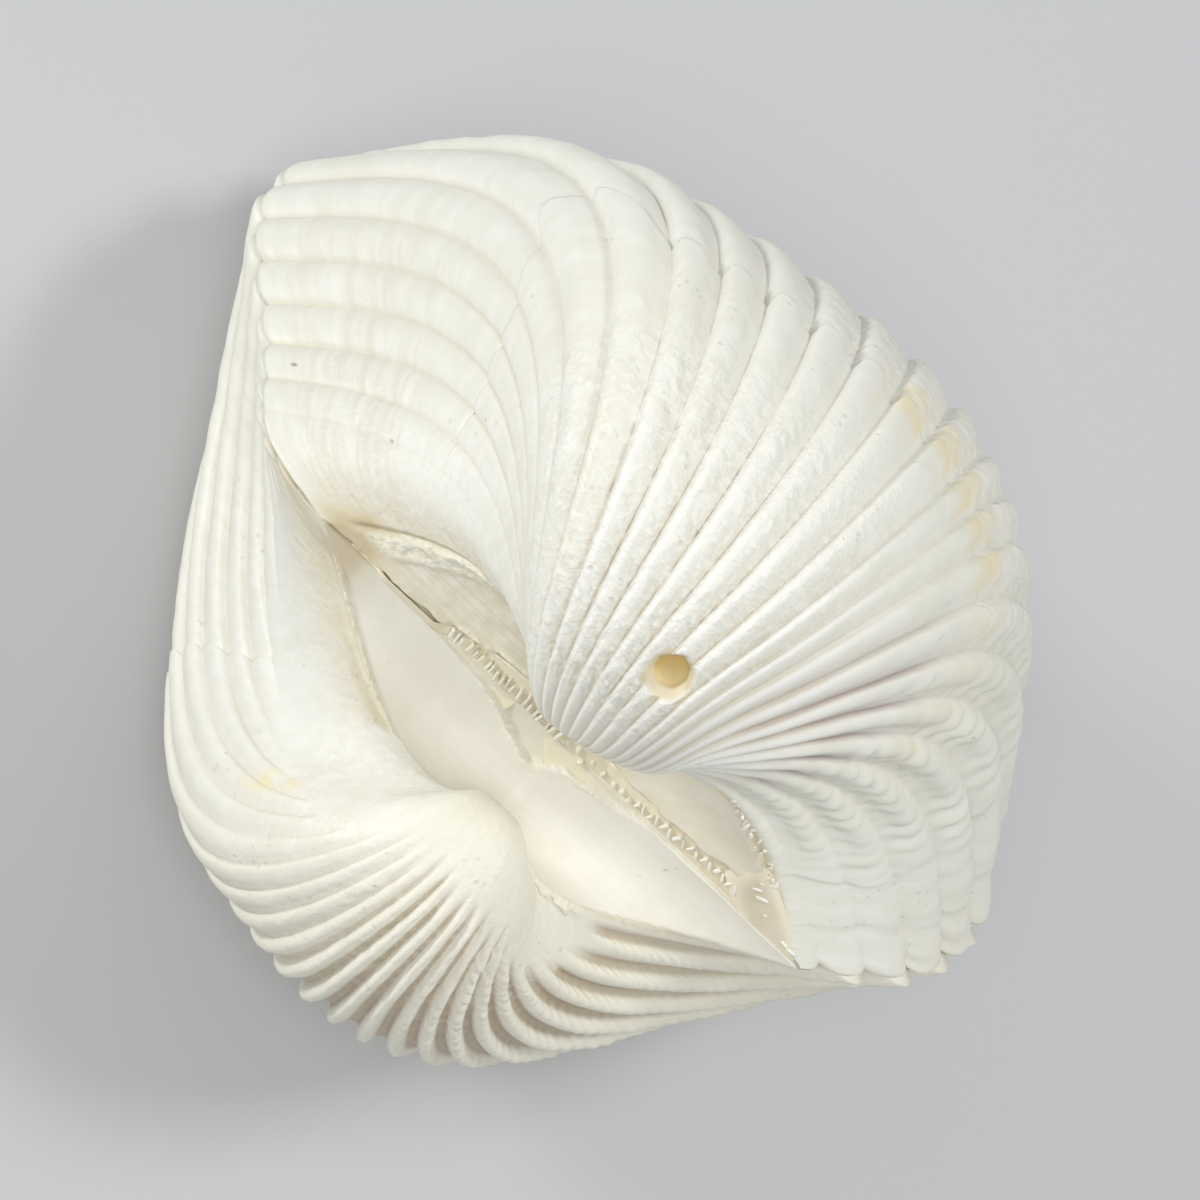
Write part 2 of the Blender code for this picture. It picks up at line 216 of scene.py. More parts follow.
def valve_rows(valve, rib_kinds, rib_strength, growth_relief, hinge_relief):
    """Rows of points over a whole valve, from the tip of its beak over the edge and back inside."""
    rows, stage = valve.stage()
    lengths, count, outer = valve.lengths, valve.count, valve.outer
    across = count - np.floor(count)
    turned = np.degrees(stage)
    crown = np.where(outer, smooth(0.0, 0.16, across) * (1.0 - smooth(0.44, 0.84, across)), 0.0)
    crown = crown * smooth(22.0, 36.0, lengths) * (1.0 - 0.8 * smooth(80.0, 92.0, lengths))
    crown = crown * smooth(1.5, 8.0, EDGE_LENGTH - lengths)
    crown_ahead = np.radians(2.6) * crown
    turn = stage - crown_ahead * np.clip(turned / 14.0, 0.0, 1.0)
    scale = valve.scale(turn)
    middle = np.argmin(np.abs(lengths - 56.0))
    steps = np.linspace(0.0, WHOLE_TURN, 400)
    line = valve.place(valve.point[middle], valve.out[middle], 0.0, steps)
    lengths_grown = np.concatenate([[0.0], np.cumsum(np.linalg.norm(np.diff(line, axis=0), axis=1))])
    grown = np.interp(stage, steps, lengths_grown)
    strength = rib_strength(lengths, turned)
    pitch = np.interp(lengths, EDGE_LENGTHS, valve.pitches)
    raised = rib_relief(count, *rib_kinds(lengths, turned)) * pitch * scale
    raised = raised * strength * (1.0 + 0.16 * uneven(count * 1.7, grown / 2.4, 3))
    raised = raised + strength * growth_relief(lengths, turned, grown, across)
    for start, halt in zip(HALTS, valve.halts):
        places, turns, drops = np.array(halt).T
        ledge = smooth(0.0, 2.4 if start < 30.0 else 0.8, start - rows)
        after = ledge * np.exp(np.minimum(rows - start, 0.0) / 8.0)
        raised = raised - np.interp(lengths, places, drops) * np.minimum(1.0, scale + 0.3) * after
    lump = 0.05 * uneven(lengths / 5.3, grown / 4.4, 5) + 0.03 * uneven(count * 2.3, grown / 0.9, 8)
    raised = raised + lump * scale ** 0.5
    rounded_edge = 0.16 * np.exp(-grown / 0.30)
    raised = raised - rounded_edge
    raised = raised * smooth(0.2, 1.6, lengths) * smooth(0.2, 1.6, EDGE_LENGTH - lengths)
    raised = np.where(outer, raised, 0.0)
    spots = valve.place(valve.point, valve.out, raised, turn)
    edge = lengths + 0.0 * turn
    marks = {"rib": count + 0.0 * turn, "edge": edge, "grown": grown, "turned": turned,
             "area": np.where(outer, 0.0, 1.0) + 0.0 * turn, "ribbed": np.where(outer, strength, 0.0)}
    spots, marks["amber"], marks["chalk"] = hinge_relief(spots, outer + 0.0 * turn, edge, turned)
    if valve.side < 0:
        marks["area"] = np.where(outer, 1.0 - smooth(0.3, 0.7, edge), 1.0)
    below_table = np.minimum(spots @ np.array(SEAT_UP) + SEAT_PLACE[2], 0.0)
    spots = spots - below_table[..., None] * np.array(SEAT_UP)
    inner_turn = np.radians(np.array((0.0, 4.0, 14.0, 34.0, 56.0, 80.0, 106.0, 132.0)))[:, None]
    scale = valve.scale(inner_turn)
    wall = (WALL_AT_BEAK + WALL_GAIN * scale) / scale
    plate = (WALL_AT_BEAK + HINGE_PLATE_GAIN * scale) / scale
    centre = 0.5 * (REAR + FRONT)
    inner = np.stack([
        centre + (valve.point[:, 0] - centre) * (1.0 - 2.0 * wall / (FRONT - REAR)),
        -plate + (BELLY + wall + plate) * valve.point[:, 1] / BELLY], axis=-1)
    inside = valve.place(inner, valve.out, 0.0, inner_turn + 0.0 * inner[..., 0])
    heart = np.array((centre, 0.5 * BELLY))
    tips = [valve.place(heart, np.zeros(2), 0.0, math.radians(turned_to)) + 0.0 * spots[:1]
            for turned_to in (valve.tip, 150.0)]
    marks = {mark: np.concatenate([values[:1], values, np.repeat(values[-1:], len(inside) + 1, axis=0)])
             for mark, values in marks.items()}
    return np.concatenate([tips[0], spots, inside, tips[1]]), marks


def grown_mesh(name, points, marks):
    """A closed skin over rows of points, whose marks become attributes of its vertices."""
    tall, wide = points.shape[:2]
    work = bmesh.new()
    layers = [(work.verts.layers.float.new(mark), values) for mark, values in marks.items()]
    grid = bmesh.ops.create_grid(work, x_segments=wide, y_segments=tall - 1, size=0.5)["verts"]
    grid = sorted(grid, key=lambda vert: (round(vert.co.y * (tall - 1) + 0.01),
                                          round(vert.co.x * wide + 0.01)))
    # The last column lies on the first, and merging them closes the skin round the valve.
    for i, vert in enumerate(grid):
        row, column = divmod(i, wide + 1)
        vert.co = points[row, column % wide]
        for layer, values in layers:
            vert[layer] = values[row, column % wide]
    bmesh.ops.remove_doubles(work, verts=work.verts, dist=0.0000005)
    bmesh.ops.recalc_face_normals(work, faces=work.faces)
    for face in work.faces:
        face.smooth = True
    mesh = bpy.data.meshes.new(name)
    work.to_mesh(mesh)
    work.free()
    piece = bpy.data.objects.new(name, mesh)
    bpy.context.scene.collection.objects.link(piece)
    return piece


class Wire:
    """One output in a material; Python's operators on it add Math nodes."""

    def __init__(self, finish, socket):
        self.finish, self.socket = finish, socket

    def math(self, operation, *values):
        return self.finish.node("ShaderNodeMath", dict(operation=operation), *values)

    def __add__(self, other):
        return self.math("ADD", self, other)

    def __radd__(self, other):
        return self.math("ADD", other, self)

    def __sub__(self, other):
        return self.math("SUBTRACT", self, other)

    def __rsub__(self, other):
        return self.math("SUBTRACT", other, self)

    def __mul__(self, other):
        return self.math("MULTIPLY", self, other)

    def __rmul__(self, other):
        return self.math("MULTIPLY", other, self)

    def wrap(self):
        return self.math("FRACT", self)


class Finish:
    """One material, built round a Principled shader whose even settings are set on its own sockets."""

    def __init__(self, name, **settings):
        self.material = bpy.data.materials.new(name)
        self.material.use_nodes = True
        self.tree = self.material.node_tree
        self.shader = self.tree.nodes["Principled BSDF"]
        for socket, value in settings.items():
            self.shader.inputs[socket.replace("_", " ")].default_value = value

    def node(self, kind, settings, *values, output=0, **named):
        """A node of this kind: its settings, then values or wires for its sockets. None leaves one alone."""
        node = self.tree.nodes.new(kind)
        for setting, value in settings.items():
            setattr(node, setting, value)
        sockets = list(zip(node.inputs, values))
        sockets += [(node.inputs[name], value) for name, value in named.items()]
        for socket, value in sockets:
            if isinstance(value, Wire):
                self.tree.links.new(value.socket, socket)
            elif value is not None:
                socket.default_value = value
        return Wire(self, node.outputs[output])

    def mark(self, name):
        return self.node("ShaderNodeAttribute", dict(attribute_name=name), output="Fac")

    def step(self, value, low, high):
        """Soft step from 0 at low to 1 at high."""
        soft = dict(interpolation_type="SMOOTHSTEP")
        return self.node("ShaderNodeMapRange", soft, value, low, high, 0.0, 1.0)

    def band(self, value, low, high, soft):
        """1 from low to high, with soft ends."""
        past_high = self.step(value, high - soft, high + soft)
        return self.step(value, low - soft, low + soft) * (1.0 - past_high)

    def spread(self, across, along):
        return self.node("ShaderNodeCombineXYZ", {}, across, along, 0.0)

    def noise(self, vector, scale, detail=2.0, rough=0.5):
        return self.node("ShaderNodeTexNoise", {}, Vector=vector, Scale=scale, Detail=detail, Roughness=rough)

    def cells(self, vector, scale):
        return self.node("ShaderNodeTexVoronoi", {}, Vector=vector, Scale=scale, output="Distance")

    def mix(self, share, one, other):
        """Colour between one and the other. A Mix node's colours are its seventh and eighth sockets."""
        one, other = (value if isinstance(value, Wire) else (*value, 1.0) for value in (one, other))
        return self.node("ShaderNodeMix", dict(data_type="RGBA"), share, *[None] * 5, one, other, output=2)

    def bump(self, height, distance):
        return self.node("ShaderNodeBump", {}, Strength=1.0, Distance=distance, Height=height)

    def feed(self, socket, wire):
        self.tree.links.new(wire.socket, self.shader.inputs[socket])


# Halts hold places along the edge, the degrees turned at which growth stopped there, and the ledge's drop.
left = Valve(
    side=1, axis=(-1.2, 3.39, 3.98), spiral=(0.611, -0.095, 0.0615), lean=-1.1,
    drift=(2.1, 0.75, -0.4), tip=214.0, pitch=4.52, groove_at=46.75,
    pitch_changes=((0.0, 22.6, -2.19), (32.0, 5.9, 1.82), (72.3, 4.0, -1.36), (110.0, 14.0, -1.15)),
    halts=(
        ((0, 9, 0.0), (60, 9, 0.0), (88, 9, 0.19), (97, 8, 0.18), (105, 12, 0.18), (110.2, 12, 0.14)),
        ((0, 22, 0.0), (60, 22, 0.0), (90, 24, 0.22), (94, 21, 0.20), (99, 23, 0.20), (104, 22, 0.20),
         (110.2, 30, 0.14)),
        ((0, 53, 0.04), (10, 53, 0.20), (15, 56, 0.30), (21, 58, 0.30), (26, 52, 0.24), (28, 47, 0.32),
         (31, 46, 0.34), (34, 53, 0.28), (38, 61, 0.40), (57, 62, 0.38), (68, 64, 0.24), (80, 62, 0.1),
         (110.2, 60, 0.0))))

# How far from the hinge line the inner layer broke away, along the hinge.
LEFT_BROKEN = np.array((
    (-15.0, 0.1), (-8.0, 0.25), (-7.0, 0.75), (-5.6, 1.0), (-4.4, 1.16), (-2.4, 1.44), (-1.0, 1.6),
    (0.6, 1.5), (2.2, 1.05), (3.6, 0.95), (5.2, 0.85), (6.6, 0.98), (8.0, 1.05), (9.4, 1.25),
    (10.6, 1.1), (11.8, 0.5), (15.0, 0.1)))
BROKEN_DEPTH = 0.36


def left_hinge(spots, outer, lengths, turned):
    """Broken back from the teeth, chalky along the rear rim of the area, and split at its front rim."""
    x, y = spots[..., 0], spots[..., 1]
    area = 1.0 - outer
    crumb = uneven(x / 0.62 + 9.0, y / 0.5, 21) + 0.6 * uneven(x / 0.34, y / 0.26, 22)
    border = np.interp(x, *LEFT_BROKEN.T) + 0.10 * uneven(x / 0.42, x * 0.0, 23)
    broken = area * (1.0 - smooth(border - 0.05, border + 0.05, y)) * (1.0 - smooth(20.0, 45.0, turned))
    rear = left.from_rim(-1, x, outer, lengths, turned)
    front = left.from_rim(1, x, outer, lengths, turned)
    rear_rim = between(9.0, 64.0, 4.0, turned)
    chalk = area * rear_rim * between(0.35, 2.2, 0.22, rear + 0.22 * crumb)
    seam = rear_rim * (1.0 - smooth(0.04, np.where(outer > 0.5, 0.14, 0.40), rear))
    split = between(14.0, 78.0, 7.0, turned) * np.exp(-(front / np.where(outer > 0.5, 0.30, 0.55)) ** 2)
    lip = area * np.exp(-((y - border - 0.12) / 0.11) ** 2) * between(-7.4, 0.2, 0.5, x)
    lip = lip * (1.0 - smooth(20.0, 45.0, turned))
    raised = -BROKEN_DEPTH * broken + 0.10 * lip + chalk * (0.16 + 0.05 * crumb) - 0.30 * split - 0.22 * seam
    raised = raised + area * (0.030 * crumb + 0.07 * uneven(x / 2.1, y / 1.2, 24))
    spots = spots + raised[..., None] * np.array((0.0, -0.25, 0.97))
    tip = area * (1.0 - smooth(-13.6, -10.6, x + 0.3 * crumb)) \
        + (1.0 - area) * between(0.0, 20.0, 6.0, turned) * (1.0 - smooth(0.2, 2.0, rear + 0.2 * crumb))
    # Amber where the layer broke away, at the area's rear tip and in the front split; in the seam under the
    # overhanging edge it is painted shadow.
    amber = np.maximum(np.maximum(0.35 * broken, tip), 0.9 * np.maximum(split, 0.8 * seam))
    amber = np.minimum(1.0, amber + 0.25 * area * (1.0 - smooth(0.0, 1.1, y - border)))
    # The broken lip joins the chalk strip: white as chipped chalk, and partly a painted highlight on its
    # edge.
    return spots, amber, np.maximum(chalk, lip)


def left_kinds(lengths, turned):
    """Worn bands to the rear and at the front edge, and rounder ribs towards the front."""
    front_edge = smooth(82.0, 90.0, lengths) * (1.0 - smooth(14.0, 46.0, turned))
    return np.maximum(1.0 - smooth(22.0, 34.0, lengths), front_edge), 0.85 * smooth(82.0, 94.0, lengths)


def left_ribs(lengths, turned):
    """The ribs fade out beside the hinge area, and stand out most where they turn over and near the beak."""
    turns_over = between(30.0, 62.0, 10.0, turned) * between(34.0, 84.0, 8.0, lengths)
    beak = smooth(76.0, 118.0, turned) * smooth(28.0, 40.0, lengths)
    front = smooth(94.0, 108.0, lengths) * (1.0 - smooth(50.0, 95.0, turned))
    flat = smooth(88.0, 98.0, lengths) * between(4.0, 36.0, 4.0, turned)
    return smooth(4.2, 12.5, lengths) * (1.0 + 0.15 * turns_over + 0.85 * beak - 0.45 * front - 0.35 * flat)


def left_growth(lengths, turned, grown, across):
    """Rungs across the front ribs, crumbs on the thin rear ribs, and a crust and broad lumps by the edge."""
    wander = grown + 0.16 * uneven(lengths / 2.1, grown / 2.3, 11)
    rungs = np.sin(wander * 2.0 * np.pi / 2.7) * (0.55 + 0.9 * uneven(lengths / 2.7, grown / 3.7, 13))
    rungs = rungs * between(84.0, 106.0, 4.0, lengths) * between(22.0, 80.0, 8.0, turned)
    crumbs = uneven(lengths / 0.8, grown / 0.42, 12) * between(24.0, 62.0, 5.0, lengths)
    crumbs = crumbs * between(76.0, 150.0, 12.0, turned)
    crust = uneven(lengths / 0.75, grown / 0.34, 15) * between(50.0, 84.0, 4.0, lengths)
    crust = crust * between(40.0, 62.0, 4.0, turned)
    broad = uneven(lengths / 2.6, grown / 1.5, 16) * smooth(88.0, 98.0, lengths)
    broad = broad * (1.0 - smooth(24.0, 40.0, turned))
    rungs = rungs * (0.1 + np.sin(np.pi * across))
    return 0.14 * rungs + 0.07 * crumbs + 0.08 * crust + 0.13 * broad


points, marks = valve_rows(left, left_kinds, left_ribs, left_growth, left_hinge)
left_shell = grown_mesh("left_valve_shell", lay(points), marks)

# The snail's bore: a countersunk funnel with a chip in its rim, cut square to the wall.
BORE_ALONG_EDGE, BORE_TURNED = 63.3, 126.0
BORE_PROFILE = ((0.0, -0.86), (0.60, -0.84), (0.74, -0.76), (0.80, -0.48), (0.98, -0.24), (1.17, -0.04),
                (1.30, 0.12), (1.66, 0.9), (0.0, 0.9))


def on_left(length, turned):
    """Place on the left valve, below its relief, this far along the edge and this many degrees turned."""
    point = np.array([np.interp(length, EDGE_LENGTHS, EDGE_LINE[:, i]) for i in (0, 1)])
    return Vector(lay(left.place(point, np.zeros(2), 0.0, math.radians(turned))))


bore_mouth = on_left(BORE_ALONG_EDGE, BORE_TURNED)
bore_beside = on_left(BORE_ALONG_EDGE + 1.5, BORE_TURNED)
bore_ahead = on_left(BORE_ALONG_EDGE, BORE_TURNED - 2.0)
bore_out = (bore_beside - bore_mouth).cross(bore_ahead - bore_mouth).normalized()
work = bmesh.new()
profile = [work.verts.new((radius, 0.0, height)) for radius, height in BORE_PROFILE]
sides = [work.edges.new(pair) for pair in zip(profile, profile[1:])]
bmesh.ops.spin(work, geom=profile + sides, axis=(0.0, 0.0, 1.0), cent=(0.0, 0.0, 0.0), angle=2.0 * math.pi,
               steps=56, use_merge=True, use_duplicate=False)
bmesh.ops.remove_doubles(work, verts=work.verts, dist=0.0001)
for vert in work.verts:
    around = math.atan2(vert.co.y, vert.co.x)
    chip = math.exp(-((around - 0.95) / 0.17) ** 2) * (0.10 if vert.co.z > -0.5 else 0.0)
    vert.co.xy *= 1.0 + 0.022 * math.sin(3.0 * around + 0.7) + 0.014 * math.sin(7.0 * around) + chip
    vert.co.xy += Vector((0.14, 0.22)) * min(1.0, max(0.0, -1.6 * vert.co.z))
bmesh.ops.recalc_face_normals(work, faces=work.faces)
along = Vector((0.68026, 0.58367, 0.44338))
along = (along - bore_out * along.dot(bore_out)).normalized()
turn = Matrix((along, bore_out.cross(along), bore_out)).transposed()
bmesh.ops.transform(work, matrix=Matrix.Translation(bore_mouth) @ turn.to_4x4() @ Matrix.Scale(MM, 4),
                    verts=work.verts)
mesh = bpy.data.meshes.new("bore")
work.to_mesh(mesh)
work.free()
bore = bpy.data.objects.new("bore", mesh)
bpy.context.scene.collection.objects.link(bore)
cut = left_shell.modifiers.new("bore", "BOOLEAN")
cut.object = bore
cut.solver = "EXACT"
bpy.context.view_layer.update()
bored = bpy.data.meshes.new_from_object(left_shell.evaluated_get(bpy.context.evaluated_depsgraph_get()))
left_shell.modifiers.clear()
bpy.data.objects.remove(bore)

# The cut leaves its new vertices without marks, so those near it take the marks of the nearest whole vertex.
# Inside the funnel they are then marked amber, and honey on its floor.
whole = KDTree(len(left_shell.data.vertices))
for i, vert in enumerate(left_shell.data.vertices):
    if (vert.co - bore_mouth).length < 3.0 * MM:
        whole.insert(vert.co, i)
whole.balance()
back = turn.transposed()
for i, vert in enumerate(bored.vertices):
    x, y, z = back @ (vert.co - bore_mouth) / MM
    radius = math.hypot(x, y)
    if radius < 1.9 and -1.4 < z < 1.0:
        nearest = whole.find(vert.co)[1]
        for mark in marks:
            bored.attributes[mark].data[i].value = left_shell.data.attributes[mark].data[nearest].value
        if radius < (1.30 if z < -0.10 else 1.05):
            bored.attributes["amber"].data[i].value = 2.0 + 0.5 * y if z < -0.58 else 0.95
            bored.attributes["ribbed"].data[i].value = 0.0
left_shell.data = bored


def shell_finish(name, plate_dark, plate_pale):
    """White weathered shell: tan in its grooves, partly painted groove shade, painted shade on the low flank
    of each rib, faint growth bands, and the plate beside the hinge.
    """
    finish = Finish(name, IOR=1.5, Specular_IOR_Level=0.45)
    rib, edge, grown, turned = (finish.mark(mark) for mark in ("rib", "edge", "grown", "turned"))
    area, amber, chalk, ribbed = (finish.mark(mark) for mark in ("area", "amber", "chalk", "ribbed"))
    place = finish.node("ShaderNodeTexCoord", {}, output="Object")
    phase = rib.wrap()
    wide = finish.noise(place, 140.0, 3.0)
    fine = finish.noise(place, 900.0, 3.0, 0.6)
    grain = finish.noise(place, 2600.0, 3.0, 0.6)
    growth = finish.noise(finish.spread(rib * 0.9 + 0.8 * wide, grown * 0.6), 1.0, 2.0, 0.5)
    lines = finish.noise(finish.spread(rib * 2.6, grown * 2.6 + 3.0 * fine), 1.0, 2.0, 0.5)
    crevice = (1.0 - finish.step(phase, 0.0, 0.11) + finish.step(phase, 0.87, 1.0)) * ribbed
    low = finish.step(phase, 0.55, 0.72) * ribbed
    colour = finish.mix(finish.step(wide, 0.35, 0.7), (0.825, 0.82, 0.715), (0.875, 0.872, 0.79))
    colour = finish.mix(finish.step(growth, 0.40, 0.66) * 0.5, colour, (0.92, 0.92, 0.855))
    # Painted shade on the low flank of each rib, then tan in the grooves: partly the shell's own tan, partly
    # painted groove shade.
    colour = finish.mix(low * 0.20, colour, (0.78, 0.755, 0.65))
    colour = finish.mix(crevice * (0.02 + 0.22 * wide), colour, (0.66, 0.61, 0.47))
    plate = finish.mix(finish.step(wide + 0.25 * fine, 0.45, 0.75), plate_dark, plate_pale)
    layers = finish.noise(finish.spread(0.5 * wide, grown * 1.1 + 0.8 * fine), 1.0, 3.0)
    plate = finish.mix(finish.step(layers, 0.46, 0.62) * 0.25, plate, plate_dark)
    colour = finish.mix(area, colour, plate)
    return finish, colour, dict(rib=rib, edge=edge, grown=grown, turned=turned, area=area, amber=amber,
                                chalk=chalk, phase=phase, wide=wide, fine=fine, grain=grain, growth=growth,
                                lines=lines, ribbed=ribbed, crevice=crevice, place=place)


def finish_shell(finish, colour, wires, crumbs):
    """Pits, fine relief and roughness of the shell, and white grains where it is crumbly."""
    fine, lines, chalk, grain = wires["fine"], wires["lines"], wires["chalk"], wires["grain"]
    crumbly = (0.022 + 0.07 * crumbs + 0.24 * chalk) * (fine - 0.5)
    crumbly = crumbly + (0.010 + 0.11 * crumbs + 0.14 * chalk) * (grain - 0.5)
    pits = 1.0 - finish.step(finish.cells(wires["place"], 1700.0), 0.10, 0.26)
    pits = pits * finish.step(finish.noise(wires["place"], 330.0), 0.54, 0.68)
    height = 0.010 * lines * (1.0 - wires["area"]) - 0.03 * pits + crumbly
    colour = finish.mix(crumbs * finish.step(grain, 0.48, 0.64) * 0.55, colour, (0.95, 0.945, 0.88))
    finish.feed("Base Color", finish.mix(pits * 0.25, colour, (0.55, 0.49, 0.40)))
    finish.feed("Roughness", 0.40 + 0.22 * fine + 0.15 * chalk - 0.08 * lines)
    finish.feed("Normal", finish.bump(height, 0.001))


finish, colour, wires = shell_finish("left_shell", (0.86, 0.805, 0.65), (0.95, 0.915, 0.80))
rib, edge, grown, turned = (wires[mark] for mark in ("rib", "edge", "grown", "turned"))
stain = finish.band(edge, 59.0, 79.0, 2.0) + 0.45 * finish.band(edge, 80.0, 96.0, 1.5)
stain = stain * finish.band(turned, 57.0, 67.0, 2.0)
stain = stain * finish.band(wires["phase"], 0.06, 0.80, 0.08)
blotch = finish.noise(wires["place"], 700.0, 3.0, 0.6)
colour = finish.mix(stain * (0.35 + 0.65 * finish.step(blotch, 0.36, 0.62)), colour, (0.88, 0.79, 0.55))
plaid = finish.step(finish.noise(finish.spread(rib * 0.3, grown * 0.8), 1.0, 2.0), 0.42, 0.64)
plaid = plaid * finish.band(turned, 5.0, 36.0, 5.0) * (1.0 - finish.step(edge, 14.0, 27.0))
crust = (1.0 - finish.step(edge, 0.8, 6.0)) * finish.band(turned, 5.0, 74.0, 6.0) * (1.0 - wires["area"])
colour = finish.mix(plaid * 0.50, colour, (0.75, 0.71, 0.58))
colour = finish.mix(crust * (0.25 + 0.7 * wires["fine"]), colour, (0.74, 0.67, 0.49))
streak = finish.band(edge, 31.6, 34.2, 0.8) * finish.band(turned, 92.0, 126.0, 6.0) * wires["growth"]
colour = finish.mix(streak * 0.8, colour, (0.80, 0.66, 0.42))
yellowed = (1.0 - finish.step(edge, 18.0, 32.0)) * wires["crevice"] * (1.0 - finish.step(turned, 60.0, 85.0))
colour = finish.mix(yellowed * 0.30, colour, (0.74, 0.67, 0.48))
for along_edge, turned_to in ((10.6, 5.5), (12.2, 53.4), (6.9, 32.3)):
    speck = finish.band(edge, along_edge - 0.12, along_edge + 0.12, 0.08)
    speck = speck * finish.band(turned, turned_to - 0.5, turned_to + 0.5, 0.3)
    colour = finish.mix(speck * 0.8, colour, (0.34, 0.29, 0.22))
brown = finish.band(edge, 80.0, 107.0, 4.0) * finish.band(turned, 72.0, 116.0, 9.0)
brown = brown * (wires["crevice"] + 0.3 * finish.step(wires["phase"], 0.60, 0.85) * wires["ribbed"])
colour = finish.mix(brown * 0.75, colour, (0.40, 0.31, 0.29))
tan = wires["area"] * (1.0 - finish.step(edge, 20.0, 90.0)) * (1.0 - finish.step(wires["fine"], 0.35, 0.7))
colour = finish.mix(tan * 0.5, colour, (0.70, 0.63, 0.47))
# By the beak: painted shade in the grooves and a painted highlight on the rib crests.
by_beak = finish.step(turned, 78.0, 108.0) * finish.step(edge, 26.0, 38.0) * wires["ribbed"]
painted_beak_groove_shade = 1.0 - finish.step(wires["phase"], 0.0, 0.14) + finish.step(wires["phase"], 0.70, 1.0)
colour = finish.mix(painted_beak_groove_shade * by_beak * 0.40, colour, (0.76, 0.70, 0.57))
painted_beak_crest_highlight = finish.band(wires["phase"], 0.13, 0.32, 0.06)
colour = finish.mix(painted_beak_crest_highlight * by_beak * 0.7, colour, (0.95, 0.945, 0.90))
# Amber from the amber-and-shade mark; along the seams it is painted shadow.
colour = finish.mix(wires["amber"] * (0.55 + 0.6 * wires["wide"]), colour, (0.74, 0.64, 0.42))
# Darker brown at the rear end of the hinge, where the valves join: over the tan tip, and as painted shade in
# the join.
joined = finish.step(wires["amber"], 0.6, 1.0) * (1.0 - finish.step(turned, 18.0, 32.0))
joined = joined * (1.0 - finish.step(edge, 1.5, 5.0))
colour = finish.mix(joined * 0.6, colour, (0.62, 0.52, 0.32))
honey = finish.mix(finish.step(wires["amber"], 1.7, 2.3), (0.84, 0.72, 0.40), (0.74, 0.54, 0.21))
colour = finish.mix(finish.step(wires["amber"], 1.0, 1.5), colour, honey)
# White chalk grains; on the lips they are partly a painted highlight.
grains = wires["chalk"] * (0.35 + 0.65 * finish.step(wires["grain"], 0.38, 0.56))
colour = finish.mix(grains, colour, (0.98, 0.95, 0.80))
worn = finish.band(turned, 78.0, 150.0, 10.0) * finish.band(edge, 22.0, 72.0, 6.0)
over = finish.band(edge, 50.0, 84.0, 4.0) * finish.band(turned, 34.0, 60.0, 6.0)
low = (1.0 - finish.step(edge, 7.0, 15.0)) * finish.band(turned, 8.0, 74.0, 6.0) * (1.0 - wires["area"])
worn = (worn + 0.5 * over + 0.45 * low) * (1.0 - finish.step(wires["amber"], 0.1, 0.4))
finish_shell(finish, colour, wires, worn)
left_shell.data.materials.append(finish.material)

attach(left_shell, "root")
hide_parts("left_valve")


# ---------------------------------------------------------------------------------------------------
# RIGHT VALVE: the lower half, a little smaller and more worn. Its rear slope has lost its ribs, its
# beak is chalky and round, and the area beside its hinge is smooth, with a raised rim, white as chalk
# and partly as a painted highlight.

right = Valve(
    side=-1, axis=(-0.7, 3.17, 3.08), spiral=(0.578, -0.0075, 0.016), lean=1.6,
    drift=(0.9, 0.0, 0.0), tip=236.0, pitch=4.33, groove_at=44.87,
    pitch_changes=((0.0, 21.7, -2.48), (29.8, 8.3, 0.99), (110.0, 14.0, -0.43)),
    halts=(
        ((0, 10, 0.0), (40, 10, 0.0), (60, 10, 0.12), (110.2, 10, 0.16)),
        ((0, 22, 0.0), (40, 22, 0.0), (60, 22, 0.12), (110.2, 22, 0.2)),
        ((0, 57, 0.0), (5, 57, 0.0), (9, 57, 0.30), (15, 60, 0.34), (21, 57, 0.30), (28, 56, 0.16),
         (40, 58, 0.08), (110.2, 58, 0.08))))

RIGHT_BROKEN = np.array((
    (-15.0, -0.12), (-9.2, -0.12), (-7.5, -0.2), (-6.0, -0.34), (-4.2, -0.5), (-3.7, -0.69),
    (-2.9, -0.96), (-2.0, -1.4), (-1.2, -1.73), (-0.5, -1.93), (0.14, -1.48), (0.95, -0.8),
    (2.1, -0.72), (3.0, -0.63), (4.2, -0.3), (4.9, -0.12), (15.0, -0.12)))


